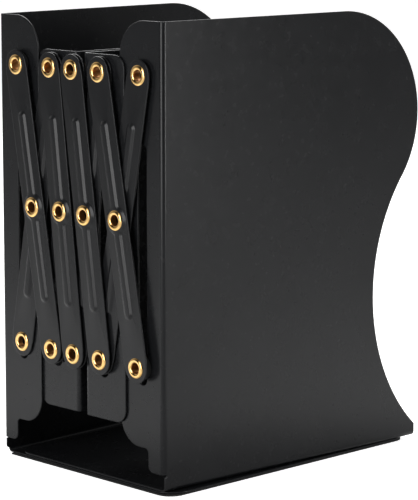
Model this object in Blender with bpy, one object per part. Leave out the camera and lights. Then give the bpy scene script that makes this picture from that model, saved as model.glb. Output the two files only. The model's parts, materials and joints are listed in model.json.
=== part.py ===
"""Expandable bookend: two bent sheet ends and two bent sheet dividers, joined by a riveted lazy-tongs.

Metres, +Z up. The spine with the tongs faces -Y and the plates run back to +Y. The origin is the
bottom centre of the closed bookend's box, on the surface that it stands on.
The left end carries the lower foot and its pad, and the right end's foot lies on that foot. Four
crosses of bars, each one front bar and one back bar, hang from five rivets at the top. Below, four of
the five rivets run in upright slots, which keep the ends and the dividers upright while it opens.
"""
import math

import bmesh
import bpy
from mathutils import Matrix, Vector

MM = 0.001

# Overall sizes of the closed bookend
overall_height = 200.0 * MM
closed_width = 104.2 * MM
end_depth = 153.3 * MM

# Sheet, clearances and finish of the edges
sheet_thickness = 0.8 * MM
sheet_clearance = 0.3 * MM
bend_radius = 1.6 * MM
end_splay = math.radians(2.0)
overrun = 1.0 * MM

# Outline of the end plates
end_upper_radius = 47.2 * MM
end_waist_inset = 27.5 * MM
end_back_corner_height = 7.1 * MM

# Outline of the end flanges, which the rivets pass through
end_flange_width = 26.4 * MM
end_flange_corner_radius = 15.0 * MM
end_flange_lower_radius = 11.5 * MM
end_step_height = 17.3 * MM
end_tab_width = 9.5 * MM
end_tab_height = 7.4 * MM
end_step_fillet = 2.0 * MM
end_tab_corner_radius = 3.0 * MM

# Feet and pad
lower_foot_overhang = 3.2 * MM
upper_foot_setback = 5.0 * MM
foot_corner_radius = 10.0 * MM
pad_thickness = 0.7 * MM
pad_clearance = 0.2 * MM
pad_inset = 0.6 * MM

# Dividers
divider_bottom_height = 27.8 * MM
divider_top_margin = 7.5 * MM
divider_depth = 138.0 * MM
divider_upper_radius = 40.0 * MM
divider_waist_inset = 24.0 * MM
divider_back_corner_height = 9.0 * MM
divider_back_corner_radius = 4.0 * MM
divider_flange_share = 0.3377
divider_flange_corner_radius = 6.0 * MM
left_divider_inset_share = 0.445
right_divider_inset_share = 0.39

# Rivet places on the closed bookend, and how the four crosses share the width between the outer rivets
left_rivet_inset = 14.5 * MM
right_rivet_inset = 12.7 * MM
cross_shares = (22.0, 14.5, 17.2, 23.3)
top_rivet_drop = 22.6 * MM
rivet_rise_share = 0.616
widest_bar_angle = math.radians(62.0)

# Slots for the lower rivets
slot_reach_below = 7.7 * MM
slot_reach_above = 3.5 * MM

# Bars of the tongs
bar_gap = 0.5 * MM
bar_shoulder = 0.4 * MM
bar_shoulder_drop = 2.0 * MM
bar_thickness = 0.8 * MM
emboss_height = 0.8 * MM
emboss_slope = 0.6 * MM
emboss_embed = 0.2 * MM
emboss_wall_step = 0.5 * MM
bead_width = 5.6 * MM
bead_end_distance = 20.2 * MM
boss_edge_margin = 0.3 * MM

# Eyelets, washers and spacers
barrel_radius = 2.5 * MM
barrel_wall = 0.4 * MM
head_radius = 4.4 * MM
head_height = 0.5 * MM
tail_radius = 4.0 * MM
wide_tail_radius = 5.2 * MM
tail_height = 0.4 * MM
seat_gap = 0.2 * MM
hole_clearance = 0.2 * MM
open_pivot_play = 1.4 * MM
washer_radius = 5.4 * MM
boss_washer_radius = 3.7 * MM
boss_washer_thickness = 0.6 * MM

# Faces along the curves, and how the faces are joined and shaded
bend_steps = 4
corner_steps = 6
curve_steps = 20
round_steps = 16
bar_end_steps = 12
emboss_steps = 8
rim_steps = 3
merge_distance = 0.001 * MM
sharp_angle = math.radians(32.0)

# Heights of the pieces that lie under each other
left_base = pad_thickness + pad_clearance
right_base = left_base + sheet_thickness + sheet_clearance
end_height = overall_height - right_base

# Layers of the spine, from the front (-Y) to the back (+Y)
front_sheet_face = 0.0
back_sheet_face = front_sheet_face + sheet_thickness + sheet_clearance
back_bar_back = front_sheet_face - sheet_clearance
back_bar_front = back_bar_back - bar_thickness
front_bar_back = back_bar_front - emboss_height - sheet_clearance
front_bar_front = front_bar_back - bar_thickness

# Rivet axes: x of each column, and the heights of the upper, middle and lower rows
half_width = closed_width / 2
tongs_width = closed_width - left_rivet_inset - right_rivet_inset
divider_flange_width = tongs_width * divider_flange_share
cross_widths = [tongs_width * share / sum(cross_shares) for share in cross_shares]
rivet_x = [-half_width + left_rivet_inset]
for cross_width in cross_widths:
    rivet_x.append(rivet_x[-1] + cross_width)
top_rivet_height = overall_height - top_rivet_drop
rivet_rise = overall_height * rivet_rise_share
middle_rivet_height = top_rivet_height - rivet_rise / 2
bottom_rivet_height = top_rivet_height - rivet_rise
bar_lengths = [math.hypot(cross_width, rivet_rise) for cross_width in cross_widths]
bar_angles = [math.atan2(cross_width, rivet_rise) for cross_width in cross_widths]
open_rivet_rise = bar_lengths[0] * math.cos(widest_bar_angle)
slot_bottom = bottom_rivet_height - slot_reach_below
slot_top = top_rivet_height - open_rivet_rise + barrel_radius + slot_reach_above

# Sizes that follow from the rivets: neighbouring bars stay clear of each other, and the dividers
# stand between the second and the fourth rivet
bar_width = min(cross_widths) - bar_gap
boss_radius = bar_width / 2 - boss_edge_margin
left_divider_rivet_inset = (rivet_x[3] - rivet_x[1]) * left_divider_inset_share
right_divider_rivet_inset = (rivet_x[3] - rivet_x[1]) * right_divider_inset_share
divider_height = top_rivet_height + divider_top_margin - divider_bottom_height

# Holes of the rivets: the back bars have a loose hole where the chain of hinges is opened
tight_hole_radius = barrel_radius + hole_clearance
loose_hole_radius = tight_hole_radius + open_pivot_play

# The closed box, whose bottom centre is the origin
front_reach = front_bar_front - emboss_height - seat_gap - head_height
back_reach = back_sheet_face + end_depth * math.cos(end_splay) + bend_radius * math.sin(end_splay)
spine_y = -(front_reach + back_reach) / 2


def clear_scene():
    """Removes what a new file holds."""
    for old in list(bpy.data.objects):
        bpy.data.objects.remove(old, do_unlink=True)


def coat(name, colour, roughness, metallic):
    """A plain Principled material."""
    material = bpy.data.materials.new(name)
    material.use_nodes = True
    shader = material.node_tree.nodes["Principled BSDF"]
    shader.inputs["Base Color"].default_value = (*colour, 1.0)
    shader.inputs["Roughness"].default_value = roughness
    shader.inputs["Metallic"].default_value = metallic
    return material


def arc(centre, radius, start, end, steps):
    """Points on a circle from one angle to another, both ends included."""
    points = []
    for step in range(steps + 1):
        angle = start + (end - start) * step / steps
        points.append((centre[0] + radius * math.cos(angle), centre[1] + radius * math.sin(angle)))
    return points


def round_corners(corners):
    """An outline from corners (x, y, radius); each rounded one becomes an arc tangent to its sides."""
    outline = []
    count = len(corners)
    for index, (x, y, radius) in enumerate(corners):
        here = Vector((x, y))
        if radius == 0:
            outline.append((x, y))
            continue
        before = (Vector(corners[index - 1][:2]) - here).normalized()
        after = (Vector(corners[(index + 1) % count][:2]) - here).normalized()
        half_angle = before.angle(after) / 2
        centre = here + (before + after).normalized() * radius / math.sin(half_angle)
        start = here + before * radius / math.tan(half_angle) - centre
        end = here + after * radius / math.tan(half_angle) - centre
        first = math.atan2(start.y, start.x)
        turn = math.atan2(start.cross(end), start.dot(end))
        outline += arc(centre, radius, first, first + turn, corner_steps)
    return outline


def s_curve(depth, height, upper_radius, waist_inset, corner_height):
    """Back edge of a plate from its top edge down: a round shoulder, then a tangent hollow."""
    shoulder = (depth - upper_radius, height - upper_radius)
    reach = (shoulder[1] - corner_height) / math.sqrt(waist_inset)
    root = (reach * reach - 2 * upper_radius) / (2 * reach)
    hollow_radius = (root * root + waist_inset) / 2
    hollow = (depth - waist_inset + hollow_radius, corner_height + math.sqrt(waist_inset) * root)
    meeting = math.atan2(hollow[1] - shoulder[1], hollow[0] - shoulder[0])
    last = math.atan2(corner_height - hollow[1], depth - hollow[0])
    if last < 0:
        last += 2 * math.pi
    upper = arc(shoulder, upper_radius, math.pi / 2, meeting, curve_steps)
    lower = arc(hollow, hollow_radius, meeting + math.pi, last, curve_steps)
    return upper + lower[1:]


def object_from(mesh_builder, name):
    """Turns a bmesh into an object in the scene."""
    mesh = bpy.data.meshes.new(name)
    mesh_builder.to_mesh(mesh)
    mesh_builder.free()
    piece = bpy.data.objects.new(name, mesh)
    bpy.context.scene.collection.objects.link(piece)
    return piece


def apply_modifier(piece, modifier):
    """Applies one modifier of a piece."""
    bpy.context.view_layer.objects.active = piece
    bpy.ops.object.modifier_apply(modifier=modifier.name)


def combine(piece, tool, operation):
    """Unites a tool with a piece, or cuts it out, and removes the tool."""
    modifier = piece.modifiers.new("Combine", "BOOLEAN")
    modifier.operation = operation
    modifier.solver = "EXACT"
    modifier.object = tool
    apply_modifier(piece, modifier)
    bpy.data.objects.remove(tool, do_unlink=True)


def prism(outlines, low, high, name):
    """Closed prisms along Y between two depths, one for each (x, z) outline."""
    builder = bmesh.new()
    for outline in outlines:
        base = [builder.verts.new((x, low, z)) for x, z in outline]
        face = builder.faces.new(base)
        extruded = bmesh.ops.extrude_face_region(builder, geom=[face])
        moved = [item for item in extruded["geom"] if isinstance(item, bmesh.types.BMVert)]
        bmesh.ops.translate(builder, verts=moved, vec=(0, high - low, 0))
    bmesh.ops.recalc_face_normals(builder, faces=builder.faces)
    return object_from(builder, name)


def circle(x, z, radius):
    """A round outline in the spine's plane."""
    return arc((x, z), radius, 0, 2 * math.pi, round_steps)[:-1]


def upright_slot(x, low, high, radius):
    """An outline with straight sides and round ends."""
    half = round_steps // 2
    top = arc((x, high - radius), radius, 0, math.pi, half)
    bottom = arc((x, low + radius), radius, math.pi, 2 * math.pi, half)
    return top + bottom


def finish(piece, material, pivot, turn=0.0):
    """Shades a piece, gives it its material and puts its origin on its own axis."""
    pivot = Vector(pivot)
    piece.data.transform(Matrix.Translation(-pivot))
    piece.data.materials.clear()
    piece.data.materials.append(material)
    piece.data.shade_smooth()
    piece.data.set_sharp_from_angle(angle=sharp_angle)
    piece.parent = spine
    piece.location = pivot
    piece.rotation_euler = (0, turn, 0)
    return piece


class SheetCorner:
    """The corner where a flange's front plane meets a plate's outer plane, and the frame it sets."""

    def __init__(self, side, x, y, base, splay):
        self.side = side
        self.corner = Vector((x, y))
        self.base = base
        self.splay = splay
        self.along = Vector((side * math.sin(splay), math.cos(splay)))
        self.outward = Vector((side * math.cos(splay), -math.sin(splay)))
        self.tangent = bend_radius * (1 - math.sin(splay)) / math.cos(splay)

    def on_flange(self, distance, height):
        """A point on the flange's front, at a distance from the corner."""
        return (self.corner.x - self.side * distance, self.corner.y, self.base + height)

    def on_plate(self, distance, height, inward=0.0):
        """A point on the plate's outer face, or inside it by a distance."""
        place = self.corner + self.along * distance - self.outward * inward
        return (place.x, place.y, self.base + height)

    def bend_column(self, step, height):
        """A point on the upright bend between the flange and the plate."""
        angle = (math.pi / 2 - self.splay) * step / bend_steps
        centre = self.corner + Vector((-self.side * self.tangent, bend_radius))
        place = centre + bend_radius * Vector((self.side * math.sin(angle), -math.cos(angle)))
        return (place.x, place.y, self.base + height)


def bent_sheet(name, frame, flange_outline, plate_outline, bend_bottom, bend_top, foot_outline=None):
    """A flange, an upright bend and a plate, with a bend and a foot below where there is one.

    The outlines leave out the points on the bends. The surface is the sheet's outer side, and
    Solidify gives it its thickness towards the inside.
    """
    builder = bmesh.new()
    columns = []
    for step in range(bend_steps + 1):
        low = builder.verts.new(frame.bend_column(step, bend_bottom))
        high = builder.verts.new(frame.bend_column(step, bend_top))
        columns.append((low, high))
    for first, second in zip(columns, columns[1:]):
        builder.faces.new((first[0], second[0], second[1], first[1]))
    flange = [builder.verts.new(frame.on_flange(*point)) for point in flange_outline]
    builder.faces.new([columns[0][1]] + flange + [columns[0][0]])
    plate = [builder.verts.new(frame.on_plate(*point)) for point in plate_outline]
    if foot_outline is None:
        builder.faces.new([columns[-1][1]] + plate + [columns[-1][0]])
    else:
        rows = []
        for step in range(bend_steps + 1):
            angle = math.pi / 2 * step / bend_steps
            inward = bend_radius * (1 - math.cos(angle))
            height = bend_radius * (1 - math.sin(angle))
            front = builder.verts.new(frame.on_plate(frame.tangent, height, inward))
            back = builder.verts.new(frame.on_plate(end_depth, height, inward))
            rows.append((front, back))
        for first, second in zip(rows, rows[1:]):
            builder.faces.new((first[0], first[1], second[1], second[0]))
        builder.faces.new([columns[-1][1]] + plate + [rows[0][1], rows[0][0], columns[-1][0]])
        foot = [builder.verts.new((x, y, frame.base)) for x, y in foot_outline]
        builder.faces.new([rows[-1][0]] + foot + [rows[-1][1]])
    bmesh.ops.recalc_face_normals(builder, faces=builder.faces)
    builder.faces.ensure_lookup_table()
    if builder.faces[bend_steps].normal.y > 0:
        bmesh.ops.reverse_faces(builder, faces=builder.faces)
    sheet = object_from(builder, name)
    solidify = sheet.modifiers.new("Thickness", "SOLIDIFY")
    solidify.thickness = sheet_thickness
    solidify.offset = -1
    solidify.use_even_offset = True
    apply_modifier(sheet, solidify)
    return sheet


def end_flange_outline():
    """Flange of an end from the bend's top round to its bottom: full width above, a narrow tab below."""
    corners = [
        (0, end_height, 0),
        (end_flange_width, end_height, end_flange_corner_radius),
        (end_flange_width, end_step_height, end_flange_lower_radius),
        (end_tab_width, end_step_height, end_step_fillet),
        (end_tab_width, end_tab_height, end_tab_corner_radius),
        (0, end_tab_height, 0),
    ]
    return round_corners(corners)[1:-1]


def end_plate_outline():
    """Back edge of an end plate from the top edge down to its foot's bend."""
    return s_curve(end_depth, end_height, end_upper_radius, end_waist_inset, end_back_corner_height)


def foot_edges(frame, free_x):
    """Corners of a foot's free edges: front, free side and back, in plan."""
    front = frame.on_plate(frame.tangent, 0, bend_radius)
    back = frame.on_plate(end_depth, 0, bend_radius)
    return [
        (front[0], front[1], 0),
        (free_x, front[1], foot_corner_radius),
        (free_x, back[1], foot_corner_radius),
        (back[0], back[1], 0),
    ]


def end_sheet(name, side, corner_y, base, free_x, rivet, material):
    """An end: plate, flange with a rivet hole and a slot, and foot."""
    frame = SheetCorner(side, side * half_width, corner_y, base, end_splay)
    foot = round_corners(foot_edges(frame, free_x))[1:-1]
    sheet = bent_sheet(
        name, frame, end_flange_outline(), end_plate_outline(), end_tab_height, end_height, foot)
    cut_rivet_places(sheet, rivet, corner_y)
    return finish(sheet, material, (rivet, 0, top_rivet_height))


def cut_rivet_places(sheet, rivet, face):
    """Cuts the upper rivet's hole and the lower rivet's slot through a flange."""
    outlines = [
        circle(rivet, top_rivet_height, tight_hole_radius),
        upright_slot(rivet, slot_bottom, slot_top, tight_hole_radius),
    ]
    tool = prism(outlines, face - overrun, face + sheet_thickness + overrun, "rivet_places")
    combine(sheet, tool, "DIFFERENCE")


def divider_sheet(name, side, face, rivet, rivet_inset, material):
    """A divider: plate and flange, hung from its upper rivet and clear of the feet."""
    frame = SheetCorner(side, rivet + side * rivet_inset, face, divider_bottom_height, 0.0)
    flange = round_corners([
        (0, divider_height, 0),
        (divider_flange_width, divider_height, divider_flange_corner_radius),
        (divider_flange_width, 0, divider_flange_corner_radius),
        (0, 0, 0),
    ])[1:-1]
    back_edge = s_curve(
        divider_depth, divider_height, divider_upper_radius, divider_waist_inset, divider_back_corner_height)
    bottom = round_corners([
        (*back_edge[-1], 0),
        (divider_depth, 0, divider_back_corner_radius),
        (0, 0, 0),
    ])[1:-1]
    sheet = bent_sheet(name, frame, flange, back_edge + bottom, 0, divider_height)
    cut_rivet_places(sheet, rivet, face)
    return finish(sheet, material, (rivet, 0, top_rivet_height))


def pad_sheet(material):
    """The pad under the lower foot, set in from the foot's edges."""
    frame = SheetCorner(-1, -half_width, front_sheet_face, left_base, end_splay)
    front, front_free, back_free, back = foot_edges(frame, half_width + lower_foot_overhang)
    outline = round_corners([
        (front[0] + pad_inset, front[1] + pad_inset, 0),
        (front_free[0] - pad_inset, front_free[1] + pad_inset, foot_corner_radius - pad_inset),
        (back_free[0] - pad_inset, back_free[1] - pad_inset, foot_corner_radius - pad_inset),
        (back[0] + pad_inset, back[1] - pad_inset, 0),
    ])
    builder = bmesh.new()
    face = builder.faces.new([builder.verts.new((x, y, 0)) for x, y in outline])
    extruded = bmesh.ops.extrude_face_region(builder, geom=[face])
    moved = [item for item in extruded["geom"] if isinstance(item, bmesh.types.BMVert)]
    bmesh.ops.translate(builder, verts=moved, vec=(0, 0, pad_thickness))
    bmesh.ops.recalc_face_normals(builder, faces=builder.faces)
    pad = object_from(builder, "foot_pad")
    return finish(pad, material, (0, 0, 0))


def emboss_outline(length, inset):
    """Outline of a bar's pressing: a bead to each side of a round boss, drawn in by the inset."""
    half_bead = bead_width / 2 - inset
    radius = boss_radius - inset
    bead_centre = length / 2 - bead_end_distance - inset - half_bead
    neck = math.asin(half_bead / radius)
    upper = arc((0, bead_centre), half_bead, 0, math.pi, emboss_steps)
    left = arc((0, 0), radius, math.pi / 2 + neck, 3 * math.pi / 2 - neck, emboss_steps)
    lower = arc((0, -bead_centre), half_bead, math.pi, 2 * math.pi, emboss_steps)
    right = arc((0, 0), radius, neck - math.pi / 2, math.pi / 2 - neck, emboss_steps)
    return upper + left + lower + right


def emboss_solid(length, base, top, base_inset, top_inset):
    """The pressing as a solid with sloping sides, between two depths along Y."""
    builder = bmesh.new()
    loops = []
    for depth, inset in ((base, base_inset), (top, top_inset)):
        loop = [builder.verts.new((x, depth, z)) for x, z in emboss_outline(length, inset)]
        builder.faces.new(loop)
        loops.append(loop)
    for index in range(len(loops[0])):
        after = (index + 1) % len(loops[0])
        builder.faces.new((loops[0][index], loops[0][after], loops[1][after], loops[1][index]))
    bmesh.ops.recalc_face_normals(builder, faces=builder.faces)
    return object_from(builder, "pressing")


def bar(name, length, front, back, upper_hole, lower_hole, pivot_shift, pivot, turn, material):
    """A pressed bar with round ends between small shoulders, drawn upright about its middle.

    The front has the raised beads and boss, and the back has their hollow. The shift is the height
    of the bar's own joint above its middle, and moves that joint to the origin.
    """
    half_length = length / 2
    side = bar_width / 2
    radius = side - bar_shoulder
    straight = half_length - bar_shoulder_drop
    top_end = arc((0, half_length), radius, 0, math.pi, bar_end_steps)
    bottom_end = arc((0, -half_length), radius, math.pi, 2 * math.pi, bar_end_steps)
    left_side = [(-side, straight), (-side, -straight)]
    right_side = [(side, -straight), (side, straight)]
    strip = prism([top_end + left_side + bottom_end + right_side], front, back, name)
    raised = emboss_solid(length, front + emboss_embed, front - emboss_height, 0, emboss_slope)
    combine(strip, raised, "UNION")
    hollow_inset = emboss_wall_step + emboss_slope
    hollow = emboss_solid(length, back + overrun, back - emboss_height, emboss_wall_step, hollow_inset)
    combine(strip, hollow, "DIFFERENCE")
    outlines = [
        circle(0, half_length, upper_hole),
        circle(0, 0, tight_hole_radius),
        circle(0, -half_length, lower_hole),
    ]
    holes = prism(outlines, front - emboss_height - overrun, back + overrun, "rivet_holes")
    combine(strip, holes, "DIFFERENCE")
    strip.data.transform(Matrix.Translation((0, 0, -pivot_shift)))
    finish(strip, material, (0, 0, 0))
    strip.location = pivot
    strip.rotation_euler = (0, turn, 0)
    return strip


def lathe(profile, x, z, name):
    """A ring about an axis along Y, from a closed profile of (radius, y) points."""
    builder = bmesh.new()
    points = [builder.verts.new((radius, y, 0)) for radius, y in profile]
    edges = [builder.edges.new((points[index - 1], points[index])) for index in range(len(points))]
    bmesh.ops.spin(
        builder, geom=points + edges, cent=(0, 0, 0), axis=(0, 1, 0), angle=2 * math.pi,
        steps=round_steps, use_merge=True)
    bmesh.ops.remove_doubles(builder, verts=builder.verts, dist=merge_distance)
    bmesh.ops.recalc_face_normals(builder, faces=builder.faces)
    bmesh.ops.translate(builder, verts=builder.verts, vec=(x, 0, z))
    return object_from(builder, name)


def eyelet(name, x, z, front, back, material, wide_tail=False):
    """A hollow rivet between the foremost and the rearmost face of what it joins."""
    bore = barrel_radius - barrel_wall
    tail = wide_tail_radius if wide_tail else tail_radius
    head_seat = front - seat_gap
    tail_seat = back + seat_gap
    profile = [(barrel_radius, head_seat)]
    for step in range(rim_steps + 1):
        angle = math.pi * step / rim_steps
        middle = (head_radius + bore) / 2
        half = (head_radius - bore) / 2
        profile.append((middle + half * math.cos(angle), head_seat - head_height * math.sin(angle)))
    for step in range(rim_steps + 1):
        angle = math.pi * step / rim_steps
        middle = (tail + bore) / 2
        half = (tail - bore) / 2
        profile.append((middle - half * math.cos(angle), tail_seat + tail_height * math.sin(angle)))
    profile.append((barrel_radius, tail_seat))
    ring = lathe(profile, x, z, name)
    return finish(ring, material, (x, 0, z))


def washer(name, x, z, front, back, radius, material):
    """A flat ring round an eyelet's barrel, between two depths."""
    hole = tight_hole_radius
    profile = [(hole, front), (radius, front), (radius, back), (hole, back)]
    ring = lathe(profile, x, z, name)
    return finish(ring, material, (x, 0, z))


clear_scene()
end_coat = coat("end_powder_coat", (0.036, 0.037, 0.040), 0.48, 0.0)
divider_coat = coat("divider_powder_coat", (0.034, 0.035, 0.037), 0.50, 0.0)
bar_coat = coat("bar_powder_coat", (0.038, 0.038, 0.040), 0.46, 0.0)
brass = coat("polished_brass", (0.80, 0.58, 0.24), 0.22, 1.0)
nylon = coat("black_nylon", (0.020, 0.020, 0.021), 0.55, 0.0)
foam = coat("pad_rubber", (0.010, 0.010, 0.010), 0.90, 0.0)

spine = bpy.data.objects.new("spine", None)
spine.location = (0, spine_y, 0)
bpy.context.scene.collection.objects.link(spine)

# Ends, dividers and pad
end_sheet(
    "left_end", -1, front_sheet_face, left_base, half_width + lower_foot_overhang, rivet_x[0], end_coat)
end_sheet(
    "right_end", 1, back_sheet_face, right_base, upper_foot_setback - half_width, rivet_x[4], end_coat)
divider_sheet("left_divider", 1, back_sheet_face, rivet_x[1], left_divider_rivet_inset, divider_coat)
divider_sheet("right_divider", -1, front_sheet_face, rivet_x[3], right_divider_rivet_inset, divider_coat)
pad_sheet(foam)

# Bars: each front bar runs down to the right from its upper rivet, and each back bar down to the left.
# The chain of hinges zigzags from the left end to the right end: front bar 1, back bar 2, front bar 3,
# back bar 4. The other bar of each cross turns on its middle rivet.
back_bar_holes = [
    (loose_hole_radius, tight_hole_radius),
    (tight_hole_radius, tight_hole_radius),
    (loose_hole_radius, loose_hole_radius),
    (tight_hole_radius, tight_hole_radius),
]
for number, (length, angle) in enumerate(zip(bar_lengths, bar_angles), start=1):
    middle_x = (rivet_x[number - 1] + rivet_x[number]) / 2
    front_pivot = back_pivot = (middle_x, 0, middle_rivet_height)
    front_shift = back_shift = 0.0
    if number in (1, 3):
        front_pivot, front_shift = (rivet_x[number - 1], 0, top_rivet_height), length / 2
    else:
        back_pivot, back_shift = (rivet_x[number - 1], 0, bottom_rivet_height), -length / 2
    bar(
        f"front_bar_{number}", length, front_bar_front, front_bar_back, tight_hole_radius,
        tight_hole_radius, front_shift, front_pivot, -angle, bar_coat)
    bar(
        f"back_bar_{number}", length, back_bar_front, back_bar_back, *back_bar_holes[number - 1],
        back_shift, back_pivot, angle, bar_coat)
    eyelet(
        f"middle_eyelet_{number}", middle_x, middle_rivet_height, front_bar_front - emboss_height,
        back_bar_back - emboss_height, brass)
    washer_middle = (front_bar_back - emboss_height + back_bar_front - emboss_height) / 2
    washer(
        f"middle_washer_{number}", middle_x, middle_rivet_height,
        washer_middle - boss_washer_thickness / 2, washer_middle + boss_washer_thickness / 2,
        boss_washer_radius, nylon)

# Upper and lower eyelets: the foremost and the rearmost face that each one joins
front_sheet_back = front_sheet_face + sheet_thickness
back_sheet_back = back_sheet_face + sheet_thickness
top_stacks = [
    (front_bar_front, front_sheet_back),
    (front_bar_front, back_sheet_back),
    (front_bar_front, back_bar_back),
    (front_bar_front, front_sheet_back),
    (back_bar_front, back_sheet_back),
]
bottom_stacks = [
    (back_bar_front, front_sheet_back),
    (front_bar_front, back_sheet_back),
    (front_bar_front, back_bar_back),
    (front_bar_front, front_sheet_back),
    (front_bar_front, back_sheet_back),
]
for number, (x, top, bottom) in enumerate(zip(rivet_x, top_stacks, bottom_stacks), start=1):
    eyelet(f"top_eyelet_{number}", x, top_rivet_height, *top, brass)
    eyelet(f"bottom_eyelet_{number}", x, bottom_rivet_height, *bottom, brass, wide_tail=True)

# Washers between the front and the back bars, and spacers where a layer is missing
for number in (2, 3, 4):
    for row, height in (("top", top_rivet_height), ("bottom", bottom_rivet_height)):
        washer(
            f"{row}_washer_{number}", rivet_x[number - 1], height, front_bar_back + seat_gap,
            back_bar_front - seat_gap, washer_radius, nylon)
spacers = [
    ("top_spacer_1", 0, top_rivet_height, front_bar_back, front_sheet_face),
    ("top_spacer_2", 1, top_rivet_height, back_bar_back, back_sheet_face),
    ("top_spacer_5", 4, top_rivet_height, back_bar_back, back_sheet_face),
    ("bottom_spacer_2", 1, bottom_rivet_height, back_bar_back, back_sheet_face),
    ("bottom_spacer_5", 4, bottom_rivet_height, front_bar_back, back_sheet_face),
]
for name, column, height, front, back in spacers:
    washer(name, rivet_x[column], height, front + seat_gap, back - seat_gap, washer_radius, nylon)
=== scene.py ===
# %% [markdown]
# # An expandable bookend in black powder coat and brass
#
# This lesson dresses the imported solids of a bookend: two bent sheet ends, two dividers, eight pressed bars
# and fourteen brass eyelets. The solids say where every piece goes and how it moves. Here each piece gets
# the thin details that the eye looks for: rounded rims, soft pressings, rolled eyelets and a satin coat.
#
# Everything is in metres, and small sizes are written in millimetres and multiplied by MM.

# %% Load the frame
import json
import math

import bmesh
import bpy
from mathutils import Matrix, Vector


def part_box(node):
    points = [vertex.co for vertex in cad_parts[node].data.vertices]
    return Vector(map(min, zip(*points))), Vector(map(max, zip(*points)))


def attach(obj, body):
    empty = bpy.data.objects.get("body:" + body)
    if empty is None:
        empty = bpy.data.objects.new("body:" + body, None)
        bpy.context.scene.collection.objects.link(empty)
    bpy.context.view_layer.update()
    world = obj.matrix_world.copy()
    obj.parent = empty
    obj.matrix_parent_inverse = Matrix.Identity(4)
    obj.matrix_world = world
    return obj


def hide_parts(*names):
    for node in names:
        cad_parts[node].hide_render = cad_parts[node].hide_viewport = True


MM = 0.001
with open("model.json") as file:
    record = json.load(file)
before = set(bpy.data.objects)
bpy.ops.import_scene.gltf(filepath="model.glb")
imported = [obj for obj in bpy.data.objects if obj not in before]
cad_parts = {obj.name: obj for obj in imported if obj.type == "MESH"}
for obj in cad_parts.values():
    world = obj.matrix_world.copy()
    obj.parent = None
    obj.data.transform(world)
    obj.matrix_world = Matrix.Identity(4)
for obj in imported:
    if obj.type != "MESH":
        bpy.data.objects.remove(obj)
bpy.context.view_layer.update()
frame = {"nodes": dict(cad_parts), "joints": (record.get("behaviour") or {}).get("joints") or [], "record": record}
spine_y = frame["joints"][0]["pos_m"][1]
print("spine plane at y", round(spine_y / MM, 2), "mm")

# %% [markdown]
# ## Camera
#
# The photograph was taken with a long lens from the right front, a little above the object. Its upright
# edges are nearly parallel, as they are when a camera is tilted little and its lens is shifted down a
# bit. The shift is kept small, so that other views made with this camera stay in their frames. The place
# and the angle were found by matching edges and rivets with the picture.

# %% Add the camera
camera_data = bpy.data.cameras.new("photo_camera")
camera_data.sensor_width = 36
camera_data.lens = 169.62
camera_data.shift_y = -0.10
camera = bpy.data.objects.new("photo_camera", camera_data)
camera.location = (0.758181, -0.728480, 0.264335)
camera.rotation_euler = (math.radians(81.855), 0, math.radians(46.030))
bpy.context.scene.collection.objects.link(camera)
bpy.context.scene.camera = camera
print("camera at", tuple(round(value, 3) for value in camera.location))

# %% [markdown]
# ## Materials
#
# Every finish on this object is plain at first sight, and still no patch of it is quite like the next.
# So each material starts as a Principled shader, and noise on Object coordinates moves its tone, its
# roughness and its surface a little. The helpers below add one such pattern each. Object coordinates stay
# on a piece when it moves, and they need no unwrapping.

# %% Helpers for materials
def new_material(name):
    """A Principled material, with its node tree, its shader and its Object coordinates."""
    material = bpy.data.materials.new(name)
    material.use_nodes = True
    tree = material.node_tree
    shader = tree.nodes["Principled BSDF"]
    place = tree.nodes.new("ShaderNodeTexCoord")
    return material, tree, shader, place.outputs["Object"]


def noise(tree, place, scale, detail):
    """A noise pattern of so many waves per metre."""
    node = tree.nodes.new("ShaderNodeTexNoise")
    node.inputs["Scale"].default_value = scale
    node.inputs["Detail"].default_value = detail
    tree.links.new(place, node.inputs["Vector"])
    return node.outputs["Fac"]


def spread(tree, value, low, high, socket):
    """Maps a pattern's middle range to a range of values on a socket."""
    node = tree.nodes.new("ShaderNodeMapRange")
    node.inputs["From Min"].default_value = 0.3
    node.inputs["From Max"].default_value = 0.7
    node.inputs["To Min"].default_value = low
    node.inputs["To Max"].default_value = high
    tree.links.new(value, node.inputs["Value"])
    tree.links.new(node.outputs["Result"], socket)


def tint(tree, value, dark, light, shader):
    """Colours a surface between two close tones."""
    node = tree.nodes.new("ShaderNodeMix")
    node.data_type = "RGBA"
    node.inputs[6].default_value = (*dark, 1)
    node.inputs[7].default_value = (*light, 1)
    spread(tree, value, 0.0, 1.0, node.inputs["Factor"])
    tree.links.new(node.outputs[2], shader.inputs["Base Color"])


def bump(tree, value, height, shader, before=None):
    """Bumps a surface by so many metres, after an earlier bump if there is one."""
    node = tree.nodes.new("ShaderNodeBump")
    node.inputs["Strength"].default_value = 1.0
    node.inputs["Distance"].default_value = height
    tree.links.new(value, node.inputs["Height"])
    if before is not None:
        tree.links.new(before, node.inputs["Normal"])
    tree.links.new(node.outputs["Normal"], shader.inputs["Normal"])
    return node.outputs["Normal"]


print("materials before this step", len(bpy.data.materials))

# %% [markdown]
# ## Powder coat
#
# The sheets and bars have a satin powder coat. Powder melts into a skin with very shallow waves. One could
# model that skin, but its waves are thousandths of a millimetre high, so two sizes of noise in the bump
# do it, and a coarser noise changes the roughness. Pieces from different batches differ a little in tone,
# so the ends, the dividers and the bars each have a coat of their own.

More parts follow.
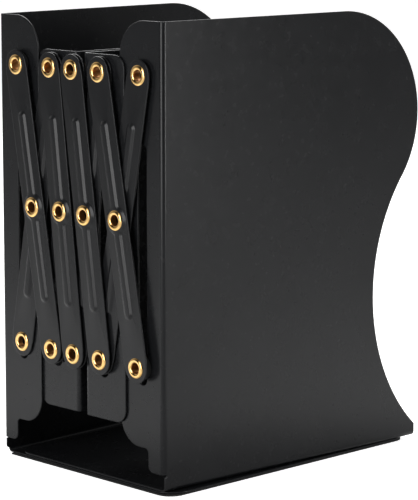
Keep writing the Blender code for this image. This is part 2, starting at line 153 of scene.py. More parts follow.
# %% Powder coat
def powder_coat(name, dark, light, smooth, rough):
    """Satin powder coat: close dark tones, shallow waves and a finer grain."""
    material, tree, shader, place = new_material(name)
    shader.inputs["Specular IOR Level"].default_value = 0.22
    tint(tree, noise(tree, place, 60.0, 3.0), dark, light, shader)
    spread(tree, noise(tree, place, 220.0, 2.0), smooth, rough, shader.inputs["Roughness"])
    waves = bump(tree, noise(tree, place, 700.0, 1.0), 0.006 * MM, shader)
    bump(tree, noise(tree, place, 2600.0, 2.0), 0.003 * MM, shader, waves)
    return material


end_coat = powder_coat("end_powder_coat", (0.0072, 0.0075, 0.0083), (0.0090, 0.0094, 0.0103), 0.24, 0.28)
divider_coat = powder_coat(
    "divider_powder_coat", (0.0070, 0.0073, 0.0081), (0.0088, 0.0092, 0.0101), 0.25, 0.29)
bar_coat = powder_coat("bar_powder_coat", (0.0080, 0.0083, 0.0090), (0.0098, 0.0101, 0.0109), 0.23, 0.27)
print("coats", end_coat.name, divider_coat.name, bar_coat.name)

# %% [markdown]
# ## Brass, nylon and rubber
#
# The eyelets are polished brass with faint scratches. A metal's colour is its base colour, and a low
# roughness lets it mirror the white surroundings. The bores get a second brass, rougher and with a darker,
# redder tone that is painted shade inside the bore. Washers are nylon and the pad is foam rubber, both matte with
# a fine grain.
# At the end of the cell the solids of the frame get the same materials.

# %% Brass, nylon and rubber
def brass_finish(name, dark, light, smooth, rough):
    """Brass: a warm metal with faint scratches and small changes of tone."""
    material, tree, shader, place = new_material(name)
    shader.inputs["Metallic"].default_value = 1.0
    tint(tree, noise(tree, place, 500.0, 3.0), dark, light, shader)
    spread(tree, noise(tree, place, 1400.0, 2.0), smooth, rough, shader.inputs["Roughness"])
    bump(tree, noise(tree, place, 1800.0, 2.0), 0.012 * MM, shader)
    return material


def matte_black(name, tone, rough, grain, height):
    """A matte black material with a grain of its own."""
    material, tree, shader, place = new_material(name)
    tint(tree, noise(tree, place, grain / 8, 2.0), (tone,) * 3, (tone * 1.4,) * 3, shader)
    spread(tree, noise(tree, place, grain / 3, 2.0), rough - 0.04, rough + 0.04, shader.inputs["Roughness"])
    bump(tree, noise(tree, place, grain, 3.0), height, shader)
    return material


brass = brass_finish("polished_brass", (0.80, 0.48, 0.16), (0.90, 0.60, 0.25), 0.06, 0.12)
# The bore's brass is rougher, and its darker, redder tone is painted shade inside the narrow bore.
bore_shade_brass = brass_finish("dull_bore_shade_brass", (0.40, 0.17, 0.045), (0.52, 0.25, 0.08), 0.40, 0.50)
nylon = matte_black("black_nylon", 0.016, 0.52, 1500.0, 0.010 * MM)
foam = matte_black("foam_rubber", 0.008, 0.88, 2400.0, 0.060 * MM)
slot_materials = {
    "end_coat": end_coat, "divider_coat": divider_coat, "bar_coat": bar_coat,
    "brass": brass, "nylon": nylon, "pad": foam,
}
for part in frame["record"]["subparts"]:
    node = frame["nodes"][part["node"]]
    for slot_index in range(len(node.material_slots)):
        node.material_slots[slot_index].material = slot_materials[part["material_slot"]]
print("materials", sorted(slot_materials))

# %% [markdown]
# ## Light
#
# Product pictures like this one are taken on a white table in front of a white wall. The world is white
# for the camera, and for the light on the object it is bright only behind it, where the wall is. Soft
# panels light the dark sheet from above, from behind and along its two visible sides. They are large,
# because the rim of a sheet mirrors a panel as a line, and a small lamp would leave dots on it.

# %% White surroundings
to_the_back = (-0.725, 0.688, 0)
world = bpy.data.worlds.new("white_tent")
world.use_nodes = True
bpy.context.scene.world = world
world_tree = world.node_tree
background = world_tree.nodes["Background"]
background.inputs["Color"].default_value = (1, 1, 1, 1)
light_path = world_tree.nodes.new("ShaderNodeLightPath")
direction = world_tree.nodes.new("ShaderNodeTexCoord")
backdrop = world_tree.nodes.new("ShaderNodeVectorMath")
backdrop.operation = "DOT_PRODUCT"
backdrop.inputs[1].default_value = to_the_back
glow = world_tree.nodes.new("ShaderNodeMapRange")
glow.inputs["From Min"].default_value = -0.1
glow.inputs["To Min"].default_value = 0.04
glow.inputs["To Max"].default_value = 0.9
strength = world_tree.nodes.new("ShaderNodeMath")
strength.operation = "MAXIMUM"
world_tree.links.new(direction.outputs["Generated"], backdrop.inputs[0])
world_tree.links.new(backdrop.outputs["Value"], glow.inputs["Value"])
world_tree.links.new(glow.outputs["Result"], strength.inputs[0])
world_tree.links.new(light_path.outputs["Is Camera Ray"], strength.inputs[1])
world_tree.links.new(strength.outputs["Value"], background.inputs["Strength"])
print("world nodes", len(world_tree.nodes))


# %% Four panels
def panel(name, place, aim, width, height, power):
    """A soft rectangular lamp that faces a point."""
    lamp_data = bpy.data.lights.new(name, "AREA")
    lamp_data.shape = "RECTANGLE"
    lamp_data.size = width
    lamp_data.size_y = height
    lamp_data.energy = power
    lamp = bpy.data.objects.new(name, lamp_data)
    lamp.location = place
    lamp.rotation_euler = (Vector(aim) - Vector(place)).to_track_quat("-Z", "Y").to_euler()
    bpy.context.scene.collection.objects.link(lamp)


object_middle = (0, 0, 0.1)
panel("top_panel", (0.54, -0.51, 1.17), object_middle, 0.9, 0.9, 3.0)
panel("back_panel", (-0.74, 0.71, 0.95), object_middle, 1.4, 0.7, 14.5)
panel("front_strip", (0.15, -1.19, 0.35), object_middle, 0.66, 0.8, 11.0)
panel("right_strip", (1.12, 0.43, 0.30), object_middle, 0.16, 0.6, 5.8)
print("lamps", len(bpy.data.lights))

# %% [markdown]
# ## Floor
#
# The floor is a wide pale plane that keeps the soft shadow of the object. Lamps strong enough to make it
# white would be too bright for the object, so it glows a little instead, and only for the camera: a Math
# node multiplies Is Camera Ray with the glow's strength.

# %% Floor
floor_width = 12
bpy.ops.object.select_all(action="DESELECT")
bpy.ops.mesh.primitive_plane_add(size=floor_width, location=(0, 0, 0))
floor = bpy.context.object
floor.name = "floor"
floor_material, floor_tree, floor_shader, floor_place = new_material("white_floor")
floor_shader.inputs["Base Color"].default_value = (0.86, 0.86, 0.86, 1)
floor_shader.inputs["Roughness"].default_value = 0.9
floor_shader.inputs["Emission Color"].default_value = (1, 1, 1, 1)


def combine(tree, operation, first, second):
    """A Math node on two sockets, or on a socket and a number."""
    node = tree.nodes.new("ShaderNodeMath")
    node.operation = operation
    tree.links.new(first, node.inputs[0])
    if isinstance(second, float):
        node.inputs[1].default_value = second
    else:
        tree.links.new(second, node.inputs[1])
    return node.outputs["Value"]


camera_glow = 0.80
floor_path = floor_tree.nodes.new("ShaderNodeLightPath")
seen = combine(floor_tree, "MULTIPLY", floor_path.outputs["Is Camera Ray"], camera_glow)
floor.data.materials.append(floor_material)
bpy.context.scene.view_settings.view_transform = "Standard"
print("floor", round(floor.dimensions.x), "m wide")

# %% [markdown]
# ## What the sheets mirror
#
# A satin black sheet shows mostly what it mirrors, and the upright sheets mirror the floor. So the floor has a
# painted pool of light, an emission that only glossy rays see: bright where lamp light would fall behind the
# object, with painted shade close to the object and in front. A ramp on the distance from the object draws
# the pool, and a second pattern fades it out in front. Painting the same tones on the sheets would look wrong from
# any other side.

# %% Painted pool of light
painted_light_pool_strength = 0.76
away = floor_tree.nodes.new("ShaderNodeVectorMath")
away.operation = "LENGTH"
floor_tree.links.new(floor_place, away.inputs[0])
# Painted shade out to 0.10 m from the middle, a contact shadow in reflections; painted light from 0.17 m, fading
# out by 0.72 m.
painted_light_pool = floor_tree.nodes.new("ShaderNodeValToRGB")
painted_light_pool.color_ramp.interpolation = "EASE"
painted_light_pool.color_ramp.elements[0].position = 0.10
painted_light_pool.color_ramp.elements[1].position = 0.72
painted_light_pool.color_ramp.elements[1].color = (0, 0, 0, 1)
painted_light_pool.color_ramp.elements.new(0.17).color = (1, 1, 1, 1)
floor_tree.links.new(away.outputs["Value"], painted_light_pool.inputs["Fac"])
depth = floor_tree.nodes.new("ShaderNodeVectorMath")
depth.operation = "DOT_PRODUCT"
depth.inputs[1].default_value = to_the_back
floor_tree.links.new(floor_place, depth.inputs[0])
# Fades the painted pool of light out in front of the object, which leaves painted shade there.
behind = floor_tree.nodes.new("ShaderNodeMapRange")
behind.interpolation_type = "SMOOTHSTEP"
behind.inputs["From Min"].default_value = -0.24
behind.inputs["From Max"].default_value = -0.06
floor_tree.links.new(depth.outputs["Value"], behind.inputs["Value"])
# Only glossy rays see this emission: it is a painted reflection of light and shade on the sheets.
painted_reflection_glow = combine(floor_tree, "MULTIPLY", painted_light_pool.outputs["Color"], behind.outputs["Result"])
painted_reflection_glow = combine(floor_tree, "MULTIPLY", painted_reflection_glow, floor_path.outputs["Is Glossy Ray"])
painted_reflection_glow = combine(floor_tree, "MULTIPLY", painted_reflection_glow, painted_light_pool_strength)
floor_tree.links.new(combine(floor_tree, "ADD", seen, painted_reflection_glow), floor_shader.inputs["Emission Strength"])
print("pool ends at", round(painted_light_pool.color_ramp.elements[-1].position, 2), "m from the middle")

# %% [markdown]
# ## Drawing with one point
#
# Every sheet and bar starts as a flat outline. By hand one would place a point, extrude it along the
# straight sides and spin it round the corners, and then fill the loop. The helpers below do just that.
# An outline is a list of strokes in a piece's own plane: across, then up. A straight stroke names its
# end, and a round stroke names its centre and its angle, counted anticlockwise.

# %% Helpers for editing
def deselect_all():
    """Nothing stays selected, so that an operator acts on the new piece only."""
    bpy.ops.object.select_all(action="DESELECT")


def new_piece(name):
    """An empty mesh at the origin, open for editing."""
    deselect_all()
    bpy.ops.mesh.primitive_plane_add(size=MM, location=(0, 0, 0))
    piece = bpy.context.object
    piece.name = name
    piece.data.name = name
    piece.vertex_groups.new(name="open")
    bpy.ops.object.mode_set(mode="EDIT")
    bpy.ops.mesh.delete(type="VERT")
    return piece


def select(kind, test):
    """Selects the vertices, edges or faces that pass a test, and nothing else."""
    bpy.ops.mesh.select_mode(type=kind)
    bpy.ops.mesh.select_all(action="DESELECT")
    mesh = bmesh.from_edit_mesh(bpy.context.object.data)
    items = {"VERT": mesh.verts, "EDGE": mesh.edges, "FACE": mesh.faces}[kind]
    chosen = [item for item in items if test(item)]
    for item in chosen:
        item.select = True
    mesh.select_flush_mode()
    bmesh.update_edit_mesh(bpy.context.object.data)


def middle(item):
    """The middle of an edge or a face."""
    return sum((vertex.co for vertex in item.verts), Vector()) / len(item.verts)


# %% [markdown]
# ## Outlines
#
# The point is extruded along a straight stroke and spun about the centre of a round one, and edge_face_add
# fills the loop. A sheet's corner is easier to give as a corner with a radius, so one helper turns a list
# of corners into strokes. The test at the end draws no piece: it counts the strokes of a rounded square.

# %% Draw an outline
weld = 0.01 * MM


def turned(point, centre, angle):
    """A flat point turned about a centre."""
    across, up = point[0] - centre[0], point[1] - centre[1]
    cosine, sine = math.cos(angle), math.sin(angle)
    return (centre[0] + across * cosine - up * sine, centre[1] + across * sine + up * cosine)


def draw(strokes, depth=0.0, chord=0.7 * MM):
    """Draws a closed outline in the XZ plane at a depth along Y and fills it.

    The face stays selected and looks to the front, along -Y.
    """
    bpy.ops.mesh.select_mode(type="VERT")
    bpy.ops.mesh.select_all(action="DESELECT")
    here = strokes[0]
    bpy.ops.mesh.primitive_plane_add(size=MM, location=(here[0], depth, here[1]))
    bpy.ops.mesh.merge(type="CENTER")
    first_index = len(bmesh.from_edit_mesh(bpy.context.object.data).verts) - 1
    for stroke in strokes[1:]:
        if len(stroke) == 2:
            move = (stroke[0] - here[0], 0, stroke[1] - here[1])
            bpy.ops.mesh.extrude_region_move(TRANSFORM_OT_translate={"value": move})
            here = stroke
        else:
            centre, angle = stroke[:2], stroke[2]
            length = abs(angle) * math.hypot(here[0] - centre[0], here[1] - centre[1])
            steps = max(4, round(length / chord))
            pivot = (centre[0], depth, centre[1])
            bpy.ops.mesh.spin(steps=steps, angle=angle, center=pivot, axis=(0, 1, 0))
            here = turned(here, centre, angle)
    mesh = bmesh.from_edit_mesh(bpy.context.object.data)
    for index, vertex in enumerate(mesh.verts):
        vertex.select = index >= first_index
    mesh.select_flush_mode()
    bpy.ops.mesh.remove_doubles(threshold=weld)
    bpy.ops.mesh.edge_face_add()
    mesh = bmesh.from_edit_mesh(bpy.context.object.data)
    if any(face.select and face.normal.y > 0 for face in mesh.faces):
        bpy.ops.mesh.flip_normals()


print("a quarter turn of (1, 0) gives", [round(value, 3) for value in turned((1, 0), (0, 0), math.pi / 2)])


# %% Round the corners
def rounded(corners):
    """Strokes round a polygon of (across, up, radius) corners."""
    strokes = []
    count = len(corners)
    for index, (across, up, radius) in enumerate(corners):
        here = Vector((across, up))
        if radius == 0:
            strokes.append((across, up))
            continue
        before = (Vector(corners[index - 1][:2]) - here).normalized()
        after = (Vector(corners[(index + 1) % count][:2]) - here).normalized()
        half_angle = before.angle(after) / 2
        centre = here + (before + after).normalized() * radius / math.sin(half_angle)
        start = here + before * radius / math.tan(half_angle)
        end = here + after * radius / math.tan(half_angle)
        turn = math.atan2((start - centre).cross(end - centre), (start - centre).dot(end - centre))
        strokes += [tuple(start), (centre.x, centre.y, turn)]
    return strokes


print("strokes of a rounded square", len(rounded([(0, 0, 1), (4, 0, 1), (4, 4, 1), (0, 4, 1)])))

# %% [markdown]
# ## Bent sheets
#
# Each end is one piece of 0.8 mm steel: a flange that the rivets pass through, a plate with a wavy back
# edge, and a foot. A press brake folds it along two lines. Here the flange and the plate are drawn flat,
# the plate is turned into place, and the fold between them is one edge spun round the bend's axis. Below
# the flange the plate is cut back a little at its front, where the two folds would meet. The slots of the
# ends reach higher than the rivets ever rise. The flat faces get a narrow ring along their rims, so that
# the shading of a round rim stays at the rim. Then Solidify gives the steel its thickness, and Bevel
# rounds every cut edge like thick powder does.

# %% Sizes of the sheets
sheet_thickness = 0.8 * MM
bend_radius = 1.9 * MM
splay = math.radians(2.0)
rim_ring = 0.50 * MM
rim_round = 0.38 * MM
half_width = 52.1 * MM
left_base = 0.9 * MM
right_base = 2.0 * MM
end_height = 198.0 * MM
end_depth = 153.3 * MM
flange_width = 26.4 * MM
flange_low = 7.4 * MM
notch_width = 9.5 * MM
notch_high = 17.3 * MM
foot_corner_radius = 10 * MM
front_sheet = spine_y
back_sheet = spine_y + 1.1 * MM
rivet_hole = 2.7 * MM
full_opening = math.radians(62)


def rivet(name):
    """Where an eyelet's axis is: across and up."""
    low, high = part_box(name)
    return ((low.x + high.x) / 2, (low.z + high.z) / 2)


top_rivets = [rivet(f"top_eyelet_{number}") for number in range(1, 6)]
low_rivets = [rivet(f"bottom_eyelet_{number}") for number in range(1, 6)]
bar_lengths = [
    math.hypot(low_rivets[number][0] - top_rivets[number - 1][0], top_rivets[0][1] - low_rivets[0][1])
    for number in range(1, 5)]
slot_low = low_rivets[0][1] - 7.7 * MM
slot_high = top_rivets[0][1] - bar_lengths[0] * math.cos(full_opening) + 6.0 * MM
end_slot_high = 148.5 * MM
print("top rivets at x", [round(across / MM, 1) for across, up in top_rivets])

# %% [markdown]
# ## Wavy plates, slots and holes
#
# The back edge of a plate is a round shoulder over a long hollow, and the two meet without a kink. One
# could draw such a curve by eye, but two arcs that share a tangent are what a pattern maker would scribe:
# the shoulder's radius and the depth of the waist give the radius of the hollow.

# %% Outlines of the wavy plates
def wavy_plate(depth, height, shoulder_radius, waist_inset, corner_height, front, low, corner_radius):
    """Strokes round a plate: from its front edge's top over the shoulder and down the hollow back."""
    shoulder = (depth - shoulder_radius, height - shoulder_radius)
    reach = (shoulder[1] - corner_height) / math.sqrt(waist_inset)
    root = (reach * reach - 2 * shoulder_radius) / (2 * reach)
    hollow_radius = (root * root + waist_inset) / 2
    hollow = (depth - waist_inset + hollow_radius, corner_height + math.sqrt(waist_inset) * root)
    meeting = math.atan2(hollow[1] - shoulder[1], hollow[0] - shoulder[0])
    last = math.atan2(corner_height - hollow[1], depth - hollow[0]) % (2 * math.pi)
    strokes = [(front, height), (shoulder[0], height)]
    strokes.append((*shoulder, meeting - math.pi / 2))
    strokes.append((*hollow, last - (meeting + math.pi)))
    strokes.append((depth, corner_height))
    if corner_radius > 0:
        corner = (depth - corner_radius, low + corner_radius)
        strokes += [(depth, corner[1]), (*corner, -math.pi / 2)]
    else:
        strokes.append((depth, low))
    strokes.append((front, low))
    return strokes


def slot_strokes(across, low, high, radius):
    """Strokes round an upright slot."""
    return [(across - radius, low + radius), (across, low + radius, math.pi),
            (across + radius, high - radius), (across, high - radius, math.pi)]


def ring_strokes(centre, radius):
    """Strokes round a full circle."""
    return [(centre[0] + radius, centre[1]), (*centre, math.pi), (*centre, math.pi)]


print("slots from", round(slot_low / MM, 1), "to", round(slot_high / MM, 1), "mm, in the ends up to",
      round(end_slot_high / MM, 1), "mm")

# %% [markdown]
# ## Rings round rims and holes
#
# A flat face with holes is one big polygon, and a bevel on its rim would shade it unevenly. So each rim
# and each hole gets a narrow ring of quads, and the flat face between the rings is filled last. A vertex
# group remembers the loops that the fill has to join.

# %% Rings and holes
smooth_angle = math.radians(40)


def ring_in(width, depth=0.0):
    """Draws a ring inside the selected face, raised by a depth. The face inside it stays selected."""
    bpy.ops.mesh.inset(thickness=width, depth=depth)
    bpy.ops.object.vertex_group_remove_from()


def open_up():
    """Marks the selected face's edge for a later fill, and takes the face away."""
    bpy.ops.object.vertex_group_assign()
    bpy.ops.mesh.delete(type="ONLY_FACE")


def cut_hole(strokes, depth, chord=0.7 * MM):
    """Draws a hole with a ring round it: the strokes go round the ring's outer side."""
    draw(strokes, depth, chord)
    bpy.ops.object.vertex_group_assign()
    ring_in(rim_ring)
    bpy.ops.mesh.delete(type="ONLY_FACE")


def fill_between():
    """Fills the flat face between the marked loops, and clears the marks."""
    bpy.ops.mesh.select_mode(type="VERT")
    bpy.ops.mesh.select_all(action="DESELECT")
    bpy.ops.object.vertex_group_select()
    bpy.ops.mesh.select_mode(type="EDGE")
    bpy.ops.mesh.fill(use_beauty=True)
    bpy.ops.mesh.select_all(action="SELECT")
    bpy.ops.object.vertex_group_remove_from()


def finish_piece(piece, material, round_width):
    """Rounds the cut edges, smooths the shading and gives the piece its material."""
    bpy.ops.object.mode_set(mode="OBJECT")
    bevel = piece.modifiers.new("Round_edges", "BEVEL")
    bevel.width = round_width
    bevel.segments = 3
    bevel.limit_method = "ANGLE"
    bevel.angle_limit = math.radians(50)
    bevel.miter_outer = "MITER_ARC"
    bpy.ops.object.modifier_apply(modifier=bevel.name)
    piece.vertex_groups.clear()
    bpy.ops.object.shade_smooth_by_angle(angle=smooth_angle)
    piece.data.materials.clear()
    piece.data.materials.append(material)
    return piece


print("rings", rim_ring / MM, "mm wide, rims rounded by", rim_round / MM, "mm")

# %% [markdown]
# ## Folding one sheet
#
# The plate is drawn in the flange's plane and turned about the corner, which is how the press brake moves
# it. The free edge of the flange is spun into the bend, and the lower edge of an end is spun once more and
# extruded into the foot. The skin is the sheet's outer side, so Solidify gives the thickness inwards.

# %% Draw the sheet
def tangent_of(lean):
    """How far from the corner a fold begins, where the plate leans out by an angle."""
    return bend_radius * (1 - math.sin(lean)) / math.cos(lean)


def placed(strokes, origin, flip):
    """Moves an outline to its origin, and mirrors it if flip is -1."""
    moved = []
    for stroke in strokes:
        point = (origin[0] + flip * stroke[0], origin[1] + stroke[1])
        moved.append(point if len(stroke) == 2 else (*point, flip * stroke[2]))
    return moved


def draw_sheet(side, corner, base, lean, flange, holes, plate):
    """Draws a plate and turns it about the corner, and draws a flange with its holes."""
    corner_x, face_y = corner
    draw(placed(plate, (corner_x, base), 1), face_y)
    bpy.ops.transform.rotate(
        value=side * lean - math.pi / 2, orient_axis="Z", center_override=(corner_x, face_y, 0))
    ring_in(rim_ring)
    draw(placed(flange, (corner_x, base), -side), face_y)
    ring_in(rim_ring)
    open_up()
    for strokes in holes:
        cut_hole(strokes, face_y)
    fill_between()


print("bend begins", round(tangent_of(splay) / MM, 2), "mm from the corner of an end")


# %% Fold the sheet
def fold_corner(side, corner, lean, bend_length):
    """Spins the flange's free edge round to the plate."""
    corner_x, face_y = corner
    bend_x = corner_x - side * tangent_of(lean)
    select("EDGE", lambda edge: edge.is_boundary and all(
        abs(vertex.co.x - bend_x) < weld and abs(vertex.co.y - face_y) < weld
        for vertex in edge.verts) and edge.calc_length() > bend_length / 2)
    bpy.ops.mesh.spin(
        steps=bend_steps, angle=side * (lean - math.pi / 2),
        center=(bend_x, face_y + bend_radius, 0), axis=(0, 0, 1))


def fold_foot(side, corner, base, lean, free_x):
    """Spins the plate's lower edge into a bend and extrudes it into the foot with its round corners."""
    along = Vector((side * math.sin(lean), math.cos(lean), 0))
    outward = Vector((side * math.cos(lean), -math.sin(lean), 0))
    centre = Vector((*corner, base + bend_radius)) - outward * bend_radius
    select("EDGE", lambda edge: edge.is_boundary and all(
        abs(vertex.co.z - base - bend_radius) < weld for vertex in edge.verts)
        and edge.calc_length() > end_depth / 2)
    bpy.ops.mesh.spin(steps=bend_steps, angle=-side * math.pi / 2, center=centre, axis=along)
    bpy.ops.mesh.extrude_region_move(TRANSFORM_OT_translate={"value": (free_x - centre.x, 0, 0)})
    bpy.ops.transform.resize(value=(0, 1, 1), center_override=(free_x, 0, 0))
    bpy.ops.mesh.bevel(offset=foot_corner_radius, segments=14, affect="VERTICES")
    large = (40 * MM) ** 2
    select("FACE", lambda face: face.normal.z ** 2 > 0.99 and face.calc_area() > large)
    ring_in(rim_ring)


bend_steps = 8
print("each bend is spun in", bend_steps, "steps")


# %% Give the sheet its thickness
def thicken(piece):
    """Joins the skin, turns it so that the flange looks to the front, and makes it steel."""
    bpy.ops.mesh.select_all(action="SELECT")
    bpy.ops.mesh.remove_doubles(threshold=2 * weld)
    bpy.ops.mesh.normals_make_consistent(inside=False)
    mesh = bmesh.from_edit_mesh(piece.data)
    upright = [face for face in mesh.faces if abs(face.normal.y) > 0.99]
    front = max(upright, key=lambda face: face.calc_area())
    if front.normal.y > 0:
        bpy.ops.mesh.flip_normals()
    bpy.ops.object.mode_set(mode="OBJECT")
    steel = piece.modifiers.new("Thickness", "SOLIDIFY")
    steel.thickness = sheet_thickness
    steel.offset = -1
    steel.use_even_offset = True
    bpy.ops.object.modifier_apply(modifier=steel.name)


def bent_sheet(name, side, corner, base, lean, flange, holes, plate, bend_length, free_x=None):
    """A sheet that is folded at the corner, with a foot if its free edge is given."""
    piece = new_piece(name)
    draw_sheet(side, corner, base, lean, flange, holes, plate)
    fold_corner(side, corner, lean, bend_length)
    if free_x is not None:
        fold_foot(side, corner, base, lean, free_x)
    thicken(piece)
    return piece


def hole_strokes(column, top):
    """Outlines of the rings round a flange's rivet hole and its slot."""
    across, up = top_rivets[column]
    radius = rivet_hole + rim_ring
    slot = slot_strokes(across, slot_low - rim_ring, top + rim_ring, radius)
    return [ring_strokes((across, up), radius), slot]


print("steel of", sheet_thickness / MM, "mm")

# %% [markdown]
# ## Ends
#
# The two ends are mirror images, apart from their feet: the right end's foot lies on the left end's, so
# it starts higher and is shorter. The left end's plate has a rounder toe at its front, where its foot
# shows. The plates lean out by two degrees.

# %% Outlines of an end
def end_outlines(foot_front):
    """The flange and the plate of an end, with distances from the corner and heights from its base."""
    tangent = tangent_of(splay)
    flange = rounded([
        (tangent, end_height, 0), (flange_width, end_height, 15.0 * MM),
        (flange_width, notch_high, 11.5 * MM), (notch_width, notch_high, 2.0 * MM),
        (notch_width, flange_low, 3.0 * MM), (tangent, flange_low, 0)])
    plate = wavy_plate(
        end_depth, end_height, shoulder_radius=47.2 * MM, waist_inset=27.9 * MM, corner_height=5.6 * MM,
        front=tangent, low=bend_radius, corner_radius=0)
    toe, toe_high = 0.9 * MM, 6.6 * MM
    plate[-1] = (foot_front, bend_radius)
    if foot_front > toe:
        plate.append((foot_front, bend_radius + foot_front - toe, -math.pi / 2))
    plate += [(toe, toe_high), (tangent, toe_high), (tangent, flange_low)]
    return flange, plate


body_of = {}
for body, nodes in frame["record"]["behaviour"]["bodies"].items():
    for node in nodes:
        body_of[node] = body


def takes_over(piece, node):
    """The piece stands in for a node of the frame and moves with its body."""
    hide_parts(node)
    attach(piece, body_of[node])


print("nodes that ride on a body", len(body_of))

# %% The two ends
for name, side, face, base, column, free_x, foot_front in (
        ("left_end", -1, front_sheet, left_base, 0, half_width + 3.2 * MM, 2.4 * MM),
        ("right_end", 1, back_sheet, right_base, 4, 5.0 * MM - half_width, 0.9 * MM)):
    flange, plate = end_outlines(foot_front)
    sheet = bent_sheet(
        f"{name}_sheet", side, (side * half_width, face), base, splay, flange,
        hole_strokes(column, end_slot_high), plate, end_height - flange_low, free_x)
    finish_piece(sheet, end_coat, rim_round)
    takes_over(sheet, name)
    print(name, "has", len(sheet.data.polygons), "faces")

# %% [markdown]
# ## Dividers
#
# The dividers are the same kind of bent sheet, a little smaller and without a foot. They hang from the
# tongs, and their lower edges stay clear of the ends' feet.

# %% The two dividers
divider_base = 27.8 * MM
divider_height = 157.1 * MM
divider_depth = 138.0 * MM
divider_flange_width = 26.0 * MM
divider_flange = rounded([
    (bend_radius, divider_height, 0), (divider_flange_width, divider_height, 6.0 * MM),
    (divider_flange_width, 0, 6.0 * MM), (bend_radius, 0, 0)])
divider_plate = wavy_plate(
    divider_depth, divider_height, shoulder_radius=40.0 * MM, waist_inset=24.0 * MM,
    corner_height=9.0 * MM, front=bend_radius, low=0, corner_radius=4.0 * MM)
for name, side, face, column in (
        ("left_divider", 1, back_sheet, 1), ("right_divider", -1, front_sheet, 3)):
    low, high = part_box(name)
    corner_x = high.x if side > 0 else low.x
    sheet = bent_sheet(
        f"{name}_sheet", side, (corner_x, face), divider_base, 0.0, divider_flange,
        hole_strokes(column, slot_high), divider_plate, divider_height)
    finish_piece(sheet, divider_coat, rim_round)
    takes_over(sheet, name)
    print(name, "has", len(sheet.data.polygons), "faces")

# %% [markdown]
# ## Bars
#
# A bar is a strip with round ends. A press raises a round boss in its middle and a bead to each side,
# which makes the thin strip stiff. The pressing is drawn on the strip's front and raised in small steps,
# each a little further in, so that its flanks are soft. The whole skin is then extruded back by the
# steel's thickness, so the back gets the same shape as a hollow. One bar is modelled, and every other
# bar is a copy that is lengthened by moving its two halves apart.

# %% Outline of the pressing
bar_half_width = 7.0 * MM
bar_end_radius = 6.6 * MM
bar_rim_ring = 0.45 * MM
bar_rim_round = 0.34 * MM
pressing_flank = 1.8 * MM
pressing_height = 0.8 * MM
boss_radius = 6.45 * MM
bead_half_width = 2.8 * MM
bead_end = 20.2 * MM
neck_fillet = 1.6 * MM
boss_zone = 12 * MM
loose_radius = 4.1 * MM
front_bar_y = spine_y - 3.0 * MM
back_bar_y = spine_y - 1.1 * MM


def pressing_strokes(bead_middle):
    """Strokes round the boss and its two beads, with a fillet in each of the four corners."""
    aside = bead_half_width + neck_fillet
    above = math.sqrt((boss_radius + neck_fillet) ** 2 - aside ** 2)
    swing = math.atan2(above, aside)
    boss_turn = 2 * swing
    return [
        (bead_half_width, above), (bead_half_width, bead_middle), (0, bead_middle, math.pi),
        (-bead_half_width, above), (-aside, above, -swing), (0, 0, boss_turn), (-aside, -above, -swing),
        (-bead_half_width, -bead_middle), (0, -bead_middle, math.pi),
        (bead_half_width, -above), (aside, -above, -swing), (0, 0, boss_turn), (aside, above, -swing)]


def raise_pressing(height, width, steps):
    """Raises the selected face with soft flanks: many small insets along a smooth curve."""
    before = 0.0
    for step in range(1, steps + 1):
        share = step / steps
        after = height * share * share * (3 - 2 * share)
        ring_in(width / steps, after - before)
        before = after


print("strokes of the pressing", len(pressing_strokes(30 * MM)))

# %% [markdown]
# ## One bar
#
# The order matters here. The strip comes first, then the rings of its end holes and the pressing inside
# it, and only then the fill between them. The boss has a hole of its own, on its raised top.

# %% Model one bar
def first_bar(length):
    """A pressed bar, upright about its middle, with the front of its strip at y = 0."""
    piece = new_piece("bar")
    end = length / 2
    straight = end - 2.0 * MM
    draw([(bar_half_width, -straight), (bar_half_width, straight), (bar_end_radius, end), (0, end, math.pi),
          (-bar_half_width, straight), (-bar_half_width, -straight), (-bar_end_radius, -end),
          (0, -end, math.pi)])
    ring_in(bar_rim_ring)
    open_up()
    for up in (end, -end):
        cut_hole(ring_strokes((0, up), rivet_hole + rim_ring), 0, chord=0.4 * MM)
    draw(pressing_strokes(end - bead_end - bead_half_width), 0, chord=0.5 * MM)
    bpy.ops.object.vertex_group_assign()
    raise_pressing(pressing_height, pressing_flank, steps=9)
    bpy.ops.mesh.delete(type="ONLY_FACE")
    fill_between()

    select("EDGE", lambda edge: edge.is_boundary and middle(edge).y < -0.9 * pressing_height)
    bpy.ops.object.vertex_group_assign()
    cut_hole(ring_strokes((0, 0), rivet_hole + rim_ring), -pressing_height, chord=0.4 * MM)
    fill_between()

    bpy.ops.mesh.select_all(action="SELECT")
    bpy.ops.mesh.remove_doubles(threshold=weld)
    bpy.ops.mesh.normals_make_consistent(inside=False)
    bpy.ops.mesh.extrude_region_move(TRANSFORM_OT_translate={"value": (0, sheet_thickness, 0)})
    bpy.ops.mesh.select_all(action="SELECT")
    bpy.ops.mesh.normals_make_consistent(inside=False)
    return finish_piece(piece, bar_coat, bar_rim_round)


bar_piece = first_bar(bar_lengths[0])
print("bar", round(bar_lengths[0] / MM, 2), "mm long, faces", len(bar_piece.data.polygons))

# %% [markdown]
# ## Copies
#
# A factory would press all eight bars with one tool. Here too, the bar is modelled once. Each copy has its
# own mesh, so it can be lengthened and its holes widened, and its place and turn are written into it.

# %% Copy, shape and place
def copy_of(piece, name):
    """A copy with its own mesh, open for editing."""
    deselect_all()
    piece.select_set(True)
    bpy.context.view_layer.objects.active = piece
    bpy.ops.object.duplicate()
    twin = bpy.context.object
    twin.name = twin.data.name = name
    bpy.ops.object.mode_set(mode="EDIT")
    return twin


def move_part(test, move):
    """Moves the vertices that pass a test."""
    select("VERT", test)
    bpy.ops.transform.translate(value=move)


